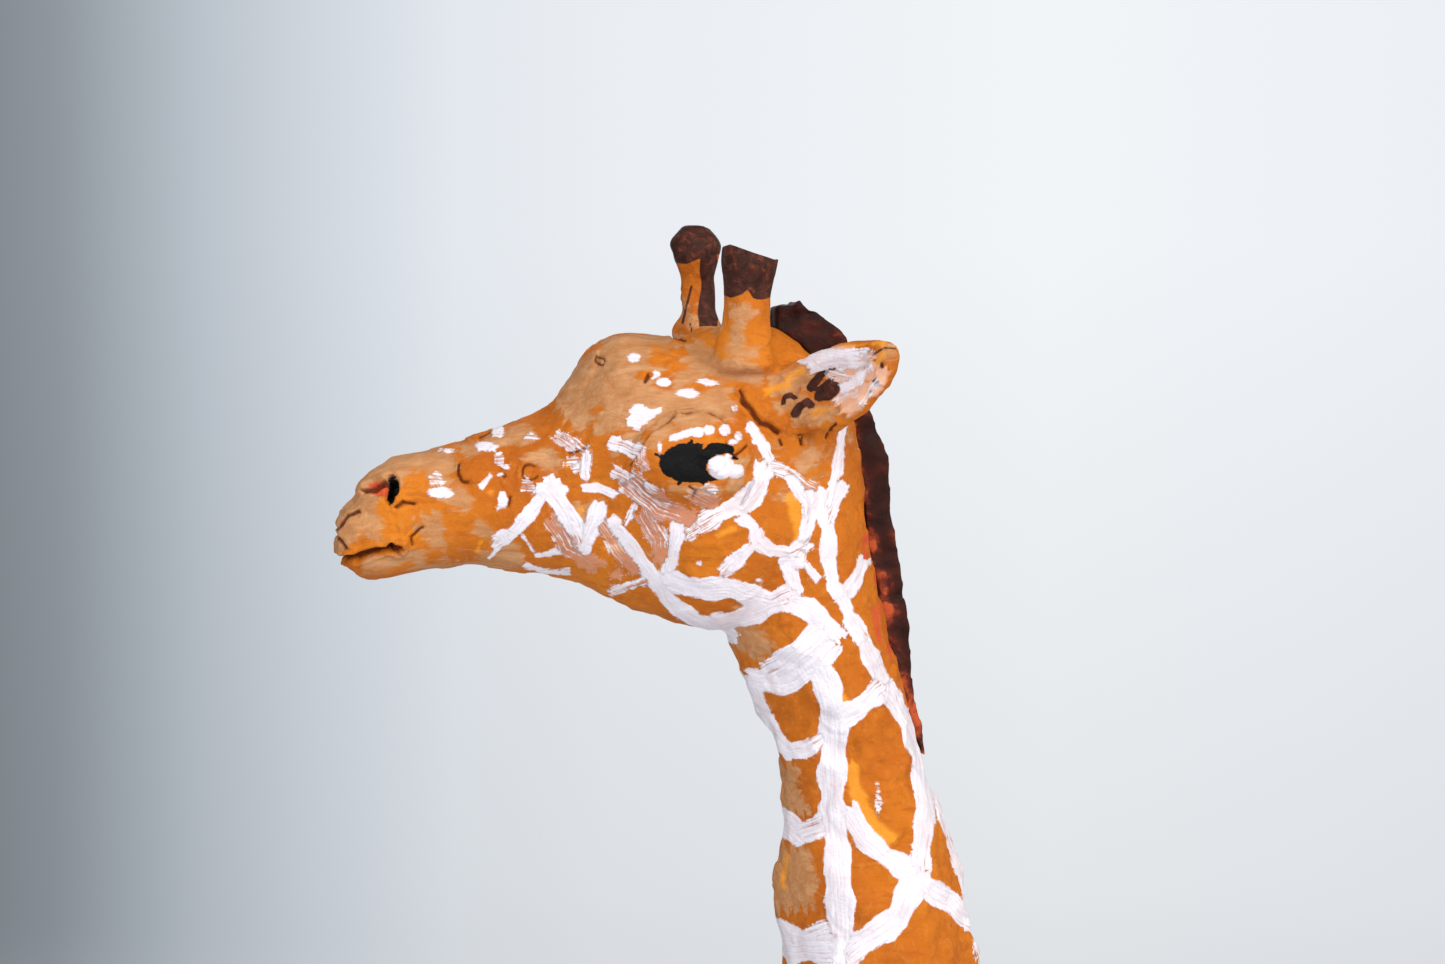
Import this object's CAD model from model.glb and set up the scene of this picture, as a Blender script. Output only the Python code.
import math

import bmesh
import bpy
import numpy as np
from mathutils import Matrix, Vector
from mathutils.bvhtree import BVHTree


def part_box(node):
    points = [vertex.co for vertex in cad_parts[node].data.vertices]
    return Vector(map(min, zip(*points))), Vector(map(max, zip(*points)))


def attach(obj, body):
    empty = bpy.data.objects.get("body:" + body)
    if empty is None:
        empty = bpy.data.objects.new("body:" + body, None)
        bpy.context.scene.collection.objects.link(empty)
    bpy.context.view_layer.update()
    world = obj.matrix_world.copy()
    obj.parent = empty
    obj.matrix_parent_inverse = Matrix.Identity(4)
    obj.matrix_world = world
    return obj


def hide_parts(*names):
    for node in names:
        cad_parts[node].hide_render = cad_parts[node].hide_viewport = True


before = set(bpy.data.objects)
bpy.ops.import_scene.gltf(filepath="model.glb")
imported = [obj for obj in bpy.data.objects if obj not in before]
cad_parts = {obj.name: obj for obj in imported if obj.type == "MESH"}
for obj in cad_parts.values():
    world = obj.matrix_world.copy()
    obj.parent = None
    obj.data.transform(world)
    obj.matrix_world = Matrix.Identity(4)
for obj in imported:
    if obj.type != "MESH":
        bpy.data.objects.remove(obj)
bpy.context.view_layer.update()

# ---------------------------------------------------------------- the room
# A plain pale studio: a matt floor that fades out into an even backdrop, which is a
# little greyer to one side of the head. The clay is dried matt, so the light is soft.
HEAD_AT = Vector((-0.099, 0.0, 0.4586))
LOOK_BACK = Vector((-0.2074, -0.9757, 0.0698)).normalized()  # from the head to the eye
LOOK_RIGHT = Vector((0.978, -0.208, 0.0)).normalized()
LOOK_UP = LOOK_BACK.cross(LOOK_RIGHT)
EYE_DISTANCE = 0.546


def hex_colour(text):
    """An sRGB hex colour as the linear colour that a shader takes."""
    parts = [int(text[k : k + 2], 16) / 255 for k in (1, 3, 5)]
    return [p / 12.92 if p <= 0.04045 else ((p + 0.055) / 1.055) ** 2.4 for p in parts] + [1.0]


def add_node(tree, kind, feeds=(), **settings):
    """One shader node with its settings; feeds pairs each socket with a value or an output."""
    node = tree.nodes.new("ShaderNode" + kind)
    for name, value in settings.items():
        setattr(node, name, value)
    for socket, value in feeds:
        if isinstance(value, bpy.types.NodeSocket):
            tree.links.new(value, node.inputs[socket])
        elif isinstance(value, str):
            node.inputs[socket].default_value = hex_colour(value)
        else:
            node.inputs[socket].default_value = value
    return node


def set_ramp(node, stops):
    """Give a colour ramp its stops, as (place, hex) pairs."""
    ramp = node.color_ramp
    while len(ramp.elements) < len(stops):
        ramp.elements.new(1.0)
    for element, (place, colour) in zip(ramp.elements, stops):
        element.position = place
        element.color = hex_colour(colour)
    return node.outputs["Color"]


def new_material(name):
    """An empty material, its node tree and its surface output."""
    material = bpy.data.materials.new(name)
    material.use_nodes = True
    tree = material.node_tree
    tree.nodes.clear()
    return material, tree, add_node(tree, "OutputMaterial")


scene = bpy.context.scene
scene.view_settings.view_transform = "Standard"

camera = bpy.data.cameras.new("eye")
camera.lens = 85
camera.sensor_width = 36
camera.sensor_fit = "HORIZONTAL"
camera.clip_start = 0.01
camera.clip_end = 50
camera_object = bpy.data.objects.new("eye", camera)
scene.collection.objects.link(camera_object)
turned = Matrix((LOOK_RIGHT, LOOK_UP, LOOK_BACK)).transposed().to_4x4()
camera_object.matrix_world = Matrix.Translation(HEAD_AT + LOOK_BACK * EYE_DISTANCE) @ turned
scene.camera = camera_object

world = bpy.data.worlds.new("studio")
world.use_nodes = True
scene.world = world
tree = world.node_tree
tree.nodes.clear()
toward = add_node(tree, "TexCoord").outputs["Generated"]
sideways = add_node(tree, "VectorMath", [(0, toward), (1, LOOK_RIGHT)], operation="DOT_PRODUCT")
forward = add_node(tree, "VectorMath", [(0, toward), (1, -LOOK_BACK)], operation="DOT_PRODUCT")
split = add_node(tree, "SeparateXYZ", [(0, toward)])
across = add_node(
    tree, "MapRange", [("Value", sideways.outputs["Value"]), ("From Min", -0.5), ("From Max", 0.5)]
)
backdrop = set_ramp(
    add_node(tree, "ValToRGB", [(0, across.outputs[0])]),
    [
        (0.00, "#ccd1d7"), (0.14, "#b3b9c0"), (0.23, "#8f969c"), (0.28, "#7d848a"), (0.31, "#90979e"),
        (0.327, "#a3acb3"), (0.35, "#bac2cb"), (0.38, "#ced5dd"), (0.422, "#e3e8ee"),
        (0.466, "#eaedf2"), (0.595, "#f1f5f8"), (0.675, "#eef1f6"), (0.75, "#eaedf2"),
    ],
)
ahead = add_node(tree, "MapRange", [("Value", forward.outputs["Value"]), ("From Min", 0.2),
    ("From Max", 0.7)])
plain = add_node(
    tree, "MixRGB", [("Fac", ahead.outputs[0]), ("Color1", "#eceff3"), ("Color2", backdrop)]
)
low = add_node(
    tree,
    "MapRange",
    [("Value", split.outputs["Z"]), ("From Min", -0.2), ("From Max", 0.0), ("To Min", 0.86), ("To Max", 1.0)],
)
shaded = add_node(
    tree,
    "MixRGB",
    [("Fac", 1.0), ("Color1", plain.outputs[0]), ("Color2", low.outputs[0])],
    blend_type="MULTIPLY",
)
seen = add_node(tree, "LightPath").outputs["Is Camera Ray"]
strength = add_node(tree, "MapRange", [("Value", seen), ("To Min", 0.42), ("To Max", 1.0)])
glow = add_node(tree, "Background", [("Color", shaded.outputs[0]), ("Strength", strength.outputs[0])])
out = add_node(tree, "OutputWorld", [("Surface", glow.outputs[0])])


def soft_light(name, place, at, width, watts, tint):
    """A square soft light at a place, pointing at a spot, in metres."""
    lamp = bpy.data.lights.new(name, "AREA")
    lamp.size = width
    lamp.energy = watts
    lamp.color = hex_colour(tint)[:3]
    holder = bpy.data.objects.new(name, lamp)
    scene.collection.objects.link(holder)
    aim = (Vector(at) - Vector(place)).to_track_quat("-Z", "Y").to_matrix().to_4x4()
    holder.matrix_world = Matrix.Translation(place) @ aim


soft_light("window_light", (1.1, -1.15, 1.15), (-0.05, 0.0, 0.36), 0.8, 21.0, "#fffaf2")
soft_light("top_light", (-0.45, -1.1, 1.75), (-0.08, 0.0, 0.4), 1.3, 13.0, "#fdfbf8")
soft_light("front_fill", (-0.9, -1.5, 0.8), (-0.05, 0.0, 0.4), 1.2, 15.0, "#fbfbff")
soft_light("back_fill", (0.2, 1.7, 1.0), (0.0, 0.0, 0.3), 1.2, 7.0, "#f8faff")

FLOOR_RINGS = (0.35, 0.7, 1.1, 1.6, 2.2)
FLOOR_SIDES = 96
floor_points, floor_faces = [(0.0, 0.0, 0.0)], []
for ring, radius in enumerate(FLOOR_RINGS):
    for k in range(FLOOR_SIDES):
        angle = 2 * math.pi * k / FLOOR_SIDES
        floor_points.append((radius * math.cos(angle), radius * math.sin(angle), 0.0))
        here = 1 + ring * FLOOR_SIDES + k
        after = 1 + ring * FLOOR_SIDES + (k + 1) % FLOOR_SIDES
        inner = (here - FLOOR_SIDES, after - FLOOR_SIDES)
        floor_faces.append((here, after, 0) if ring == 0 else (here, after, inner[1], inner[0]))
floor_mesh = bpy.data.meshes.new("floor")
floor_mesh.from_pydata(floor_points, [], floor_faces)
floor = bpy.data.objects.new("floor", floor_mesh)
scene.collection.objects.link(floor)
material, tree, out = new_material("matt_studio_floor")
where = add_node(tree, "TexCoord").outputs["Object"]
reach = add_node(tree, "VectorMath", [(0, where)], operation="LENGTH")
fade = add_node(
    tree,
    "MapRange",
    [("Value", reach.outputs["Value"]), ("From Min", 0.55), ("From Max", 2.1)],
    interpolation_type="SMOOTHSTEP",
)
matt = add_node(tree, "BsdfPrincipled", [("Base Color", "#dfe2e6"), ("Roughness", 0.9)])
clear = add_node(tree, "BsdfTransparent")
mixed = add_node(tree, "MixShader", [(0, fade.outputs[0]), (1, matt.outputs[0]), (2, clear.outputs[0])])
tree.links.new(mixed.outputs[0], out.inputs["Surface"])
floor_mesh.materials.append(material)

# ---------------------------------------------------------------- plinth
# A low block of oiled hardwood with a small bevel, sawn from one board with its grain
# along the length. It carries the statue; the armature's leg wires are glued into it.


def give(names, material):
    """Put one material on every slot of some CAD nodes."""
    for name in names:
        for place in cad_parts[name].material_slots:
            place.material = material


GRAIN_PITCH = 7.2  # mm between growth rings on the top face
material, tree, out = new_material("oiled_walnut")
where = add_node(tree, "TexCoord").outputs["Object"]
# Long drawn-out noise bends the ring lines; the pores are short dark dashes along x.
sweep = add_node(tree, "Mapping", [("Vector", where), ("Scale", (9.0, 42.0, 42.0))])
bend = add_node(tree, "TexNoise", [("Vector", sweep.outputs[0]), ("Scale", 1.0), ("Detail", 4.0)])
depth = add_node(tree, "SeparateXYZ", [("Vector", where)])
board = add_node(
    tree, "Math", [(0, depth.outputs["Y"]), (1, 1.0), (2, depth.outputs["Z"])], operation="MULTIPLY_ADD"
)
rings = add_node(
    tree,
    "Math",
    [(0, board.outputs[0]), (1, 2 * math.pi * 1000 / GRAIN_PITCH), (2, bend.outputs["Fac"])],
    operation="MULTIPLY_ADD",
)
bent = add_node(tree, "Math", [(0, bend.outputs["Fac"]), (1, 26.0), (2, rings.outputs[0])],
    operation="MULTIPLY_ADD")
wave = add_node(tree, "Math", [(0, bent.outputs[0])], operation="SINE")
band = add_node(tree, "MapRange", [("Value", wave.outputs[0]), ("From Min", -1.0)])
walnut = set_ramp(
    add_node(tree, "ValToRGB", [(0, band.outputs[0])]),
    [(0.0, "#5a3a22"), (0.45, "#74502f"), (0.8, "#86603a"), (1.0, "#62401f")],
)
dash = add_node(tree, "Mapping", [("Vector", where), ("Scale", (180.0, 1900.0, 1900.0))])
pores = add_node(tree, "TexNoise", [("Vector", dash.outputs[0]), ("Scale", 1.0), ("Detail", 2.0)])
pore = add_node(tree, "MapRange", [("Value", pores.outputs["Fac"]), ("From Min", 0.36), ("From Max", 0.46)])
colour = add_node(
    tree, "MixRGB", [("Fac", pore.outputs[0]), ("Color1", "#3a2413"), ("Color2", walnut)]
)
relief = add_node(
    tree, "Math", [(0, band.outputs[0]), (1, 0.35), (2, pore.outputs[0])], operation="MULTIPLY_ADD"
)
bump = add_node(tree, "Bump", [("Height", relief.outputs[0]), ("Distance", 0.00006), ("Strength", 0.8)])
sheen = add_node(
    tree,
    "MapRange",
    [("Value", bend.outputs["Fac"]), ("From Min", 0.3), ("From Max", 0.7), ("To Min", 0.38),
        ("To Max", 0.52)],
)
wood = add_node(
    tree,
    "BsdfPrincipled",
    [("Base Color", colour.outputs[0]), ("Roughness", sheen.outputs[0]), ("Normal", bump.outputs[0])],
)
tree.links.new(wood.outputs[0], out.inputs["Surface"])
give(["plinth"], material)

# ---------------------------------------------------------------- felt
# A sheet of pressed grey wool felt glued under the plinth: matt, with short tangled
# fibres that catch a little light.
material, tree, out = new_material("pressed_wool_felt")
where = add_node(tree, "TexCoord").outputs["Object"]
fibres = add_node(tree, "TexNoise", [("Vector", where), ("Scale", 2600.0), ("Detail", 3.0),
    ("Distortion", 2.0)])
fluff = set_ramp(
    add_node(tree, "ValToRGB", [(0, fibres.outputs["Fac"])]),
    [(0.3, "#35373a"), (0.55, "#4a4d50"), (0.75, "#65686b")],
)
bump = add_node(tree, "Bump", [("Height", fibres.outputs["Fac"]), ("Distance", 0.0003), ("Strength", 1.0)])
felt = add_node(
    tree,
    "BsdfPrincipled",
    [("Base Color", fluff), ("Roughness", 0.95), ("Sheen Weight", 0.3), ("Normal", bump.outputs[0])],
)
tree.links.new(felt.outputs[0], out.inputs["Surface"])
give(["felt_underlay"], material)

# ---------------------------------------------------------------- armature
# Soft drawn aluminium wires, bent by hand and bound where they cross, and two wads of
# crumpled foil that fill out the trunk and the skull. All of it is buried in the clay.
FOIL_CORES = ["torso_foil_core", "head_foil_core"]
WIRES = ["spine_wire", "front_leg_wire", "hind_leg_wire", "tail_wire", "binding_wires"]
material, tree, out = new_material("drawn_aluminium_wire")
where = add_node(tree, "TexCoord").outputs["Object"]
scored = add_node(tree, "TexNoise", [("Vector", where), ("Scale", 1800.0), ("Detail", 2.0)])
dull = add_node(
    tree, "MapRange", [("Value", scored.outputs["Fac"]), ("To Min", 0.28), ("To Max", 0.5)]
)
grey = set_ramp(
    add_node(tree, "ValToRGB", [(0, scored.outputs["Fac"])]), [(0.3, "#b9babd"), (0.7, "#d6d7d9")]
)
bump = add_node(tree, "Bump", [("Height", scored.outputs["Fac"]), ("Distance", 0.00003)])
wire = add_node(
    tree,
    "BsdfPrincipled",
    [("Base Color", grey), ("Metallic", 1.0), ("Roughness", dull.outputs[0]), ("Normal", bump.outputs[0])],
)
tree.links.new(wire.outputs[0], out.inputs["Surface"])
give(WIRES, material)

# The foil's creases are flat facets a few millimetres across.
material, tree, out = new_material("crumpled_foil")
where = add_node(tree, "TexCoord").outputs["Object"]
facets = add_node(tree, "TexVoronoi", [("Vector", where), ("Scale", 260.0)], feature="DISTANCE_TO_EDGE")
creases = add_node(tree, "TexNoise", [("Vector", where), ("Scale", 420.0), ("Detail", 4.0)])
crumple = add_node(
    tree,
    "Math",
    [(0, facets.outputs["Distance"]), (1, 1.4), (2, creases.outputs["Fac"])],
    operation="MULTIPLY_ADD",
)
silver = set_ramp(
    add_node(tree, "ValToRGB", [(0, creases.outputs["Fac"])]), [(0.3, "#c9cacb"), (0.7, "#e2e2e3")]
)
bump = add_node(tree, "Bump", [("Height", crumple.outputs[0]), ("Distance", 0.0008)])
foil = add_node(
    tree,
    "BsdfPrincipled",
    [("Base Color", silver), ("Metallic", 1.0), ("Roughness", 0.24), ("Normal", bump.outputs[0])],
)
tree.links.new(foil.outputs[0], out.inputs["Surface"])
give(FOIL_CORES, material)

# ---------------------------------------------------------------- the clay body
# Air-drying clay pressed over the armature by hand, one skin from the muzzle to the
# hooves, smoothed where the pieces meet. It dries matt, with thumb marks and cracks.
BODY = [
    "head", "lower_jaw", "left_eye", "right_eye", "left_horn", "right_horn", "neck", "torso",
    "front_left_leg", "front_right_leg", "hind_left_leg", "hind_right_leg",
    "front_left_hoof", "front_right_hoof", "hind_left_hoof", "hind_right_hoof", "tail", "tail_tuft",
    "left_ear", "right_ear",
]
CLAY_GRAIN = 0.8  # mm between the points of the worked clay
PLINTH_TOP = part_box("plinth")[1].z * 1000
WORKED_ABOVE = 372.0  # mm; the head and upper neck are worked finer
SHEET_AT = (-99.0, 458.6)  # mm; where the side-on layout is centred
SHEET_SPREAD = (556.1, 545.9)  # mm; how its two directions spread with distance from the eye
BARE = -3.0  # mm; the depth in a paint of a point that is well outside it
EYE_PLACE = np.array(HEAD_AT + LOOK_BACK * EYE_DISTANCE) * 1000


def welded(names):
    """The CAD nodes' triangles with their doubles merged: points in mm, triangles, owners."""
    corners, owners = [], []
    for number, name in enumerate(names):
        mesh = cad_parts[name].data
        mesh.calc_loop_triangles()
        points = np.empty(len(mesh.vertices) * 3, np.float32)
        mesh.vertices.foreach_get("co", points)
        triangles = np.empty(len(mesh.loop_triangles) * 3, np.int32)
        mesh.loop_triangles.foreach_get("vertices", triangles)
        corners.append(points.reshape(-1, 3)[triangles])
        owners.append(np.full(len(mesh.loop_triangles), number))
    corners = np.concatenate(corners).astype(np.float64)
    whole = np.round(corners * 1e6).astype(np.int64) + 2**19
    keys = (whole[:, 0] << 40) | (whole[:, 1] << 20) | whole[:, 2]
    _, first, place = np.unique(keys, return_index=True, return_inverse=True)
    return corners[first] * 1000, place.reshape(-1, 3), np.concatenate(owners)


def mesh_from(name, points, faces):
    """A mesh from points in mm."""
    mesh = bpy.data.meshes.new(name)
    mesh.from_pydata((points / 1000).tolist(), [], faces.tolist())
    mesh.update()
    return mesh


def points_of(mesh):
    """A mesh's points in mm."""
    points = np.empty(len(mesh.vertices) * 3, np.float32)
    mesh.vertices.foreach_get("co", points)
    return points.reshape(-1, 3).astype(np.float64) * 1000


def edges_of(mesh):
    """A mesh's edges as pairs of point numbers."""
    pairs = np.empty(len(mesh.edges) * 2, np.int32)
    mesh.edges.foreach_get("vertices", pairs)
    return pairs.reshape(-1, 2)


def normals_of(mesh, points):
    """Move a mesh to points in mm, and give its point normals there."""
    mesh.vertices.foreach_set("co", (points / 1000).astype(np.float32).ravel())
    mesh.update()
    normals = np.empty(len(mesh.vertices) * 3, np.float32)
    mesh.vertex_normals.foreach_get("vector", normals)
    return normals.reshape(-1, 3).astype(np.float64)


def kneaded(names, grain):
    """One closed skin round some CAD nodes, as a fresh mesh with points about grain mm apart."""
    points, triangles, owners = welded(names)
    lump = bpy.data.objects.new("lump", mesh_from("lump", points, triangles))
    scene.collection.objects.link(lump)
    remesh = lump.modifiers.new("skin", "REMESH")
    remesh.mode = "VOXEL"
    remesh.voxel_size = grain / 1000
    skin = bpy.data.meshes.new_from_object(lump.evaluated_get(bpy.context.evaluated_depsgraph_get()))
    old = lump.data
    bpy.data.objects.remove(lump)
    bpy.data.meshes.remove(old)
    return skin, points, triangles, owners


def rubbed(points, edges, rounds, share=1.0):
    """Points smoothed along their edges; share is how much, for all or for each point."""
    count = np.maximum(np.bincount(edges.ravel(), minlength=len(points)), 1)
    share = np.broadcast_to(np.asarray(share, float), (len(points),))[:, None]
    for turn in range(2 * rounds):
        total = np.empty_like(points)
        for k in range(3):
            total[:, k] = np.bincount(edges[:, 0], points[edges[:, 1], k], len(points))
            total[:, k] += np.bincount(edges[:, 1], points[edges[:, 0], k], len(points))
        pull = total / count[:, None] - points
        points = points + (0.5 if turn % 2 == 0 else -0.51) * share * pull
    return points


def lumps(points, size, seed):
    """Smooth seeded noise in -1 to 1 over points in mm, with lumps about size mm across."""
    spin = np.array([[0.8, 0.36, -0.48], [-0.6, 0.48, -0.64], [0.0, 0.8, 0.6]])
    q = points @ spin / size + np.array([17.3, 5.1, 29.7]) * (seed + 1)
    low = np.floor(q).astype(np.int64)
    part = q - low
    part = part**3 * (part * (part * 6 - 15) + 10)
    value = np.zeros(len(points))
    for dx in (0, 1):
        for dy in (0, 1):
            for dz in (0, 1):
                h = (low[:, 0] + dx) * 73856093 ^ (low[:, 1] + dy) * 19349663 ^ (low[:, 2] + dz) * 83492791
                h = (h ^ (seed * 2654435761)) & 0xFFFFFFFF
                h = ((h ^ (h >> 15)) * 0x2C1B3C6D) & 0xFFFFFFFF
                h = ((h ^ (h >> 12)) * 0x297A2D39) & 0xFFFFFFFF
                h = (h ^ (h >> 15)) & 0xFFFFFFFF
                weight = part[:, 0] if dx else 1 - part[:, 0]
                weight = weight * (part[:, 1] if dy else 1 - part[:, 1])
                weight = weight * (part[:, 2] if dz else 1 - part[:, 2])
                value += weight * (h / 2147483648.0 - 1)
    return value


def smooth_step(value, low, high):
    """0 below low, 1 above high, with an easy curve between."""
    t = np.clip((value - low) / (high - low), 0, 1)
    return t * t * (3 - 2 * t)


def side_on(points, normals, mirrored=True):
    """Where each point lies in the side-on layout of the left face: u along, v up, in mm.

    The layout is drawn as it is seen from the eye's place. The right side is laid out as
    the left one, and drifts a little from it, because no hand paints both sides the same.
    """
    side = np.where(points[:, 1] > 0, -1.0, 1.0) if mirrored else np.ones(len(points))
    p = points * np.stack((np.ones_like(side), side, np.ones_like(side)), 1)
    n = normals * np.stack((np.ones_like(side), side, np.ones_like(side)), 1)
    away = p - np.array(HEAD_AT) * 1000
    depth = EYE_DISTANCE * 1000 - away @ np.array(LOOK_BACK)
    u = SHEET_AT[0] + SHEET_SPREAD[0] * (away @ np.array(LOOK_RIGHT)) / depth
    v = SHEET_AT[1] + SHEET_SPREAD[1] * (away @ np.array(LOOK_UP)) / depth
    sight = EYE_PLACE - p
    facing = (n * sight).sum(1) / np.linalg.norm(sight, axis=1)
    if mirrored:
        drift = smooth_step(points[:, 1], 1.0, 12.0) * 2.2
        u = u + drift * lumps(points, 15, 41)
        v = v + drift * lumps(points, 15, 42)
    return u, v, facing


def laid(strokes, u, v):
    """What a set of brush strokes leaves on points of the side-on layout.

    A stroke is (width, cover, points) or (start width, end width, cover, points); a dab is
    (u, v, half length, half height, cover). Gives the depth inside the paint in mm, its
    cover, and where in the stroke a point lies: along it, across it, and which it is.
    """
    inside = np.full(len(u), BARE)
    cover = np.zeros(len(u))
    brush = np.zeros((len(u), 3))
    for number, stroke in enumerate(strokes):
        line = stroke[-1] if isinstance(stroke[-1], (list, tuple)) else None
        if line is None:
            cu, cv, ru, rv, thick = stroke
            near = np.nonzero((abs(u - cu) < ru + 3) & (abs(v - cv) < rv + 3))[0]
            if not len(near):
                continue
            du, dv = u[near] - cu, v[near] - cv
            deep = (1 - np.sqrt((du / ru) ** 2 + (dv / rv) ** 2)) * min(ru, rv)
            along, across = du, dv
        else:
            start, end, thick = (stroke[0], stroke[0], stroke[1]) if len(stroke) == 3 else stroke[:3]
            line = np.array(line, float)
            reach = max(start, end) / 2 + 3
            near = np.nonzero(
                (u > line[:, 0].min() - reach) & (u < line[:, 0].max() + reach)
                & (v > line[:, 1].min() - reach) & (v < line[:, 1].max() + reach)
            )[0]
            if not len(near):
                continue
            steps = np.linalg.norm(np.diff(line, axis=0), axis=1)
            total, gone = steps.sum(), 0.0
            deep = np.full(len(near), -9.0)
            along, across = np.zeros(len(near)), np.zeros(len(near))
            for k, ((au, av), (bu, bv), step) in enumerate(zip(line, line[1:], steps)):
                tu, tv = (bu - au) / step, (bv - av) / step
                du, dv = u[near] - au, v[near] - av
                t, side = du * tu + dv * tv, tu * dv - tv * du
                held = np.clip(t, 0, step)
                half = (start + (end - start) * (gone + held) / total) / 2
                half = half * (1 + 0.13 * np.sin(0.9 * (gone + held) + 1.9 * number))
                here = half - np.hypot(du - held * tu, dv - held * tv)
                # The bristles leave a ragged end, cut across the stroke.
                frayed = 0.22 * np.sin(4.3 * side + number) + 0.12 * np.sin(9.7 * side + 2 * number)
                torn = half * (0.4 + frayed)
                if k == 0:
                    here = np.minimum(here, t + torn)
                if k == len(steps) - 1:
                    here = np.minimum(here, step - t + torn)
                better = here > deep
                deep = np.where(better, here, deep)
                along = np.where(better, gone + held, along)
                across = np.where(better, side, across)
                gone += step
            if total > 4 and start > 1.2:
                thick = thick - 0.25 * smooth_step(along / total, 0.55, 1.0)
        better = deep > inside[near]
        hit = near[better]
        inside[hit] = deep[better]
        cover[hit] = np.broadcast_to(thick, (len(near),))[better]
        brush[hit] = np.stack((along[better], across[better], np.full(len(hit), 7.0 * number)), 1)
    return inside, cover, brush


# Lines the modelling tool and the drying left in the left side of the face: width in mm,
# depth in mm, and the line in the side-on layout.
CRACKS = [
    (0.5, 0.7, [(-157.2, 456.8), (-155.0, 457.9), (-152.9, 458.8)]),
    (0.35, 0.5, [(-152.2, 454.5), (-151, 455.4), (-150.2, 455.3), (-149, 455.2)]),
    (0.45, 0.5, [(-163, 450.2), (-161.5, 451.1), (-160.3, 452.4), (-159.2, 453.1), (-157.9, 453.8)]),
    (0.5, 0.5, [(-162, 449.8), (-160.9, 449.4), (-159.9, 448.2)]),
    (0.9, 1.6, [(-166, 446.5), (-160.5, 446.5), (-158.5, 446.7), (-156, 447.5), (-153.4, 448.0),
        (-152.9, 448.4)]),
    (1.2, 1.3, [(-152.9, 448.3), (-151.6, 447.9)]),
    (0.35, 0.4, [(-149.7, 449.8), (-148.4, 450.8), (-147.6, 451.1)]),
    (0.3, 0.35, [(-149.4, 448.5), (-149.7, 449.8)]),
    (0.35, 0.35, [(-142, 461.7), (-142, 459.9), (-141.3, 458.8), (-140.4, 458.5)]),
    (0.25, 0.28, [(-130.3 + 1.3 * math.cos(0.45 * k), 460.1 + 1.3 * math.sin(0.45 * k)) for k in range(2,
        14)]),
    (0.3, 0.35, [(-133.6, 456.2), (-133.9, 454.7)]),
    (0.5, 0.4, [(-134.7, 459.5), (-134.4, 459.3)]),
    (0.3, 0.4, [(-124, 463.2), (-122.3, 463.5), (-121.1, 464.4)]),
    (0.3, 0.3, [(-138.5, 465.4), (-136.7, 466.4)]),
    (0.35, 0.4, [(-111.8, 474.3), (-111, 475.8)]),
    (0.25, 0.25, [(-118.6 + 0.6 * math.cos(0.7 * k), 477.7 + 0.6 * math.sin(0.7 * k)) for k in range(9)]),
    (0.4, 0.6, [(-113.7, 461), (-112.5, 463.1), (-111.3, 465.1), (-110.1, 466.6), (-108.6, 467.7),
        (-106.8, 468.7)]),
    (0.4, 0.55, [(-105.6, 469), (-103.2, 469.3), (-101.3, 469.3), (-98.3, 468.4)]),
    (0.3, 0.3, [(-113.7, 461), (-113.9, 459.5), (-113.2, 457.9)]),
    (0.35, 0.45, [(-94, 458.9), (-95, 456.3), (-95.8, 454.9)]),
    (0.3, 0.35, [(-95, 464.3), (-97, 462.5)]),
    (0.35, 0.4, [(-104.4, 457.8), (-103.2, 457.2), (-103.8, 455.9)]),
    (0.45, 0.6, [(-96.2, 473), (-95.8, 471.2), (-94.1, 469.6), (-92.9, 468), (-91.4, 467.4), (-90.5, 466.8),
                 (-90, 466.5)]),
    (0.35, 0.4, [(-89.6, 465.4), (-89.3, 464.5)]),
    (0.4, 0.5, [(-86.3, 466), (-86, 464.6)]),
    (0.4, 0.5, [(-81.8, 465.7), (-81.2, 467), (-80.5, 467.6)]),
    (0.4, 0.5, [(-107.8, 483), (-106.6, 481.7), (-105, 481.3)]),
]
# Edges of clay laid over clay: the step's height, how far it takes to die away on the left
# of the line's direction, and the line.
LEDGES = [
    (0.75, 3.6, [(-96.2, 473.4), (-95.8, 471.2), (-94.1, 469.6), (-92.9, 468), (-91.4, 467.4), (-90, 466.6),
                 (-87, 466.2), (-84, 467)]),
    (0.5, 2.6, [(-96.6, 466.8), (-98.3, 468.4), (-101.3, 469.3), (-103.2, 469.3), (-106.8, 468.7),
                (-110.1, 466.6), (-112.5, 463.1), (-113.7, 461), (-113.2, 458)]),
    (0.5, 2.0, [(-158.5, 456), (-157.2, 456.8), (-155.0, 457.9), (-152.9, 458.9), (-151.5, 460)]),
    (0.3, 2.4, [(-161, 446.6), (-158.5, 446.7), (-156, 447.6), (-152.9, 448.5)]),
    (0.5, 2.6, [(-142, 461.9), (-142, 459.9), (-141.3, 458.8), (-140.0, 458.3), (-137.4, 458.5)]),
    (0.3, 1.6, [(-161.5, 451.1), (-160.3, 452.4), (-157.9, 453.8), (-155.5, 454.2)]),
    (0.4, 2.6, [(-112.4, 473), (-111.8, 474.3), (-111, 475.8), (-107.5, 476.4), (-105.5, 478)]),
    (0.35, 2.2, [(-93.6, 460), (-94, 458.9), (-95, 456.3), (-95.8, 454.9)]),
    (0.4, 3.0, [(-126, 472.5), (-122, 473.5), (-119.5, 476.5), (-118.5, 479.5)]),
    (0.35, 3.0, [(-108, 452), (-112, 455.5), (-118, 457.5)]),
    (0.35, 3.0, [(-150, 446.5), (-151.5, 449.5), (-149, 452)]),
]
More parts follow.
